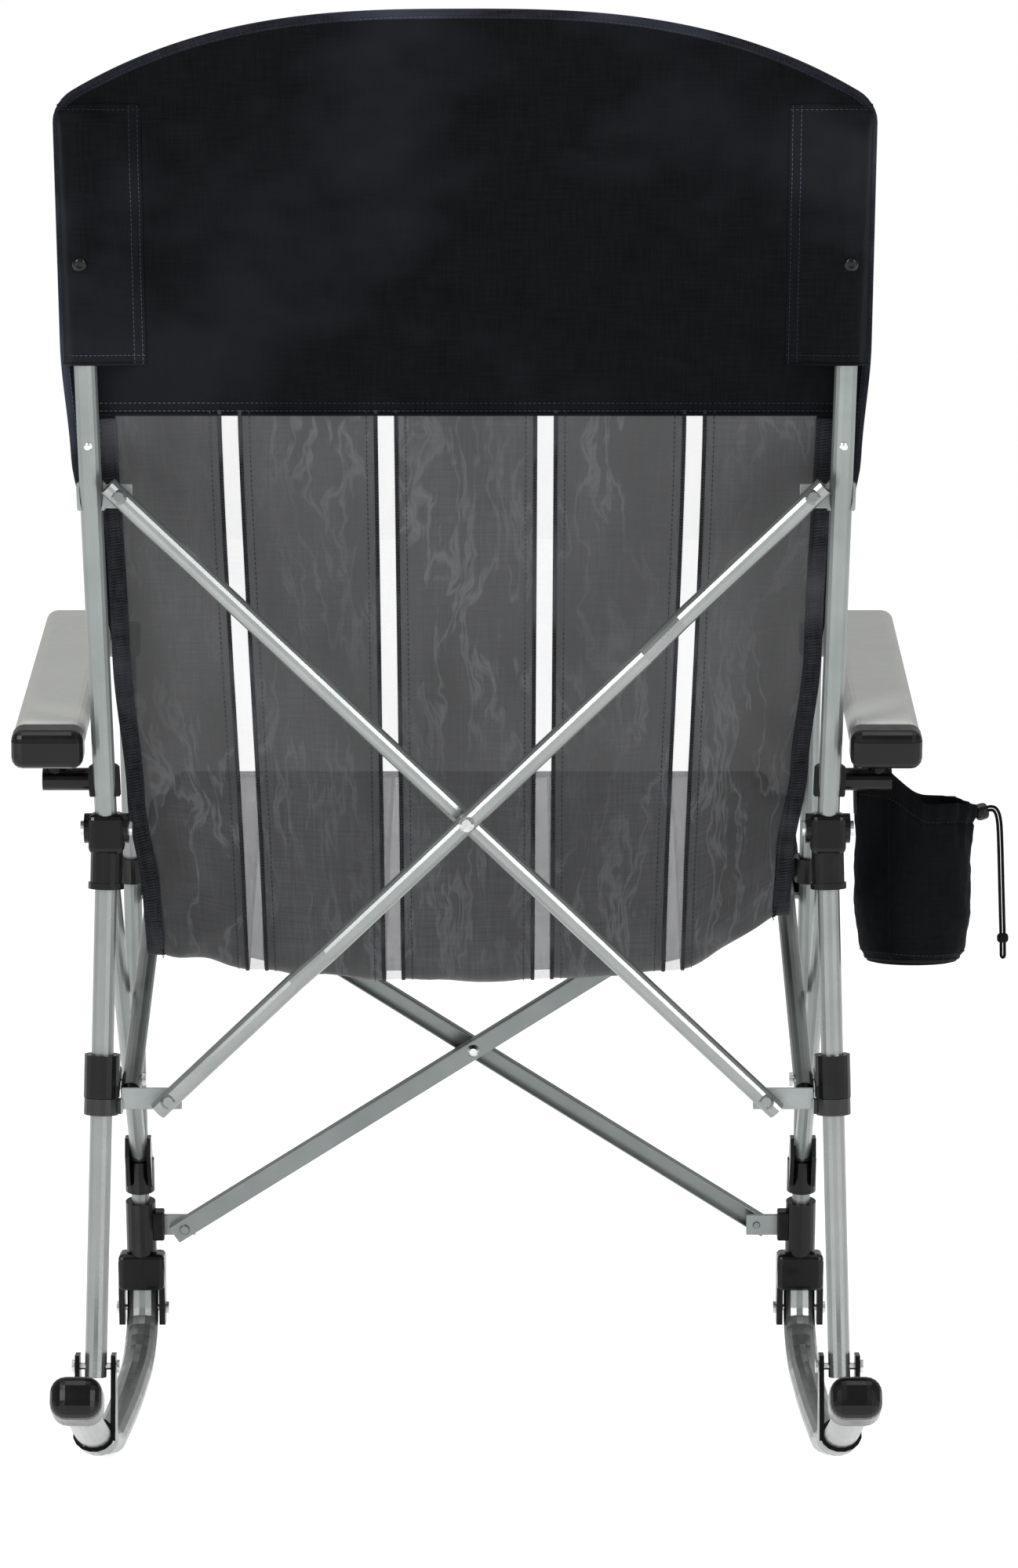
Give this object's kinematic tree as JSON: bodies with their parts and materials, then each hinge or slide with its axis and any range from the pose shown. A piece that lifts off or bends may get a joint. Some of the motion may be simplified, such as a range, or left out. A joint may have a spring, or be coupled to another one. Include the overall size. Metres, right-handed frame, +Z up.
{
  "type": "camp rocking chair",
  "caption": "Folding camp rocking chair: tubular frame on two curved rockers, fabric sling, flat armrests and a hanging cup pouch.",
  "frame": {"origin": "on the floor, under the middle of the whole object's box, pouch included", "axes": "+Z up; the sitter faces -Y; +X is the sitter's left"},
  "size_m": [0.7206, 0.719, 1.0542],
  "materials": {
    "frame_paint": "matte grey-green powder coat",
    "leg_paint": "satin silver-grey powder coat",
    "steel_plate": "matte grey powder coat",
    "black_plastic": "semi-gloss moulded",
    "arm_plastic": "satin moulded",
    "zinc": "zinc plated",
    "black_fabric": "woven polyester",
    "sling_fabric": "woven polyester and sheer mesh",
    "cord_black": "braided cord"
  },
  "bodies": {
    "left_frame": {"left_runner": "leg_paint", "left_runner_cap": "black_plastic", "left_rear_saddle": "black_plastic", "left_saddle_pin": "zinc", "left_rear_leg": "leg_paint", "left_hub": "black_plastic", "left_hub_pin": "zinc", "left_back_post": "frame_paint", "left_upper_bracket": "steel_plate", "left_rail_collar": "black_plastic", "left_rail_bolt": "zinc", "left_seat_rail": "frame_paint", "left_rail_end_cap": "black_plastic", "left_side_link": "frame_paint", "left_link_sleeve": "black_plastic", "left_front_leg": "frame_paint", "left_front_yoke": "black_plastic", "left_yoke_pin": "zinc", "left_front_bracket": "steel_plate", "left_armrest": "arm_plastic", "left_armrest_cap": "black_plastic", "left_arm_bracket": "black_plastic", "back_seat_sling": "sling_fabric"},
    "right_frame": {"right_runner": "leg_paint", "right_runner_cap": "black_plastic", "right_rear_saddle": "black_plastic", "right_saddle_pin": "zinc", "right_rear_leg": "leg_paint", "right_hub": "black_plastic", "right_hub_pin": "zinc", "right_back_post": "frame_paint", "right_upper_bracket": "steel_plate", "right_rail_collar": "black_plastic", "right_rail_bolt": "zinc", "right_seat_rail": "frame_paint", "right_rail_end_cap": "black_plastic", "right_side_link": "frame_paint", "right_link_sleeve": "black_plastic", "right_front_leg": "frame_paint", "right_front_yoke": "black_plastic", "right_yoke_pin": "zinc", "right_front_bracket": "steel_plate", "right_armrest": "arm_plastic", "right_armrest_cap": "black_plastic", "right_arm_bracket": "black_plastic", "cup_pouch": "black_fabric", "drawstring": "cord_black", "cord_lock": "black_plastic", "cord_knot": "cord_black"},
    "rear_brace_near": {"rear_brace_near": "frame_paint", "rear_cross_bolt": "zinc"},
    "rear_brace_far": {"rear_brace_far": "frame_paint"},
    "left_rear_slider": {"left_rear_slider": "black_plastic"},
    "right_rear_slider": {"right_rear_slider": "black_plastic"},
    "front_brace_near": {"front_brace_near": "frame_paint", "front_cross_bolt": "zinc"},
    "front_brace_far": {"front_brace_far": "frame_paint"},
    "left_front_slider": {"left_front_slider": "black_plastic"},
    "right_front_slider": {"right_front_slider": "black_plastic"}
  },
  "joints": [
    {"name": "fold", "type": "slide", "parent": "left_frame", "child": "right_frame", "axis": [1, 0, 0], "range_m": [0, 0.16], "deforming": ["back_seat_sling"]},
    {"name": "rear_near_turn", "type": "hinge", "parent": "right_frame", "child": "rear_brace_near", "pos_m": [-0.2194, 0.24606, 0.718], "axis": [0, 1, 0], "range_deg": [0, 18.25]},
    {"name": "rear_far_turn", "type": "hinge", "parent": "left_frame", "child": "rear_brace_far", "pos_m": [0.2648, 0.24606, 0.718], "axis": [0, -1, 0], "range_deg": [0, 18.25]},
    {"name": "left_rear_drop", "type": "slide", "parent": "left_frame", "child": "left_rear_slider", "axis": [0.0267, 0, -0.9996], "range_m": [0, 0.121]},
    {"name": "right_rear_drop", "type": "slide", "parent": "right_frame", "child": "right_rear_slider", "axis": [-0.0267, 0, -0.9996], "range_m": [0, 0.121]},
    {"name": "front_near_turn", "type": "hinge", "parent": "left_frame", "child": "front_brace_near", "pos_m": [0.2472, -0.24416, 0.125], "axis": [0, 0.9758, -0.2186], "range_deg": [0, 24.14]},
    {"name": "front_far_turn", "type": "hinge", "parent": "right_frame", "child": "front_brace_far", "pos_m": [-0.2018, -0.24416, 0.125], "axis": [0, -0.9758, 0.2186], "range_deg": [0, 24.14]},
    {"name": "left_front_rise", "type": "slide", "parent": "left_frame", "child": "left_front_slider", "axis": [0.0059, 0.2186, 0.9758], "range_m": [0, 0.15784]},
    {"name": "right_front_rise", "type": "slide", "parent": "right_frame", "child": "right_front_slider", "axis": [-0.0059, 0.2186, 0.9758], "range_m": [0, 0.15784]}
  ],
  "couplings": [
    {"joint": "rear_near_turn", "follows": "fold", "rad_per_m": 1.9906},
    {"joint": "rear_far_turn", "follows": "fold", "rad_per_m": 1.9906},
    {"joint": "left_rear_drop", "follows": "fold", "ratio": 0.75627},
    {"joint": "right_rear_drop", "follows": "fold", "ratio": 0.75627},
    {"joint": "front_near_turn", "follows": "fold", "rad_per_m": 2.6337},
    {"joint": "front_far_turn", "follows": "fold", "rad_per_m": 2.6337},
    {"joint": "left_front_rise", "follows": "fold", "ratio": 0.98648},
    {"joint": "right_front_rise", "follows": "fold", "ratio": 0.98648}
  ]
}
